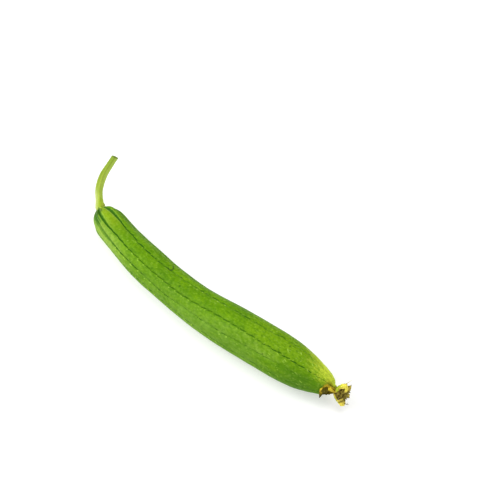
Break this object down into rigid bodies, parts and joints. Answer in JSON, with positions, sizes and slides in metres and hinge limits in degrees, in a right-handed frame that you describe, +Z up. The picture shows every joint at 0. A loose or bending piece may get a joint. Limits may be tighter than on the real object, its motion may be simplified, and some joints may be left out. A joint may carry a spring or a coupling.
{
  "type": "sponge gourd",
  "caption": "Long, slightly bent green gourd lying on its side, with shallow lengthwise grooves, a cut angled stem that curls up, and a dried flower on its tip.",
  "frame": {"origin": "on the surface it lies on, under the middle of its box", "axes": "+X along the gourd from the stem to the flower, +Z up, and the stem curls towards +Y"},
  "size_m": [0.3728, 0.0951, 0.0436],
  "materials": {
    "green_skin": "satin",
    "pale_stem": "satin",
    "yellow_petal": "matte",
    "brown_petal": "matte",
    "folded_petal": "matte"
  },
  "bodies": {
    "root": {"fruit": "green_skin", "stem": "pale_stem", "yellow_petals": "yellow_petal", "brown_petals": "brown_petal", "folded_petal": "folded_petal"}
  },
  "joints": []
}
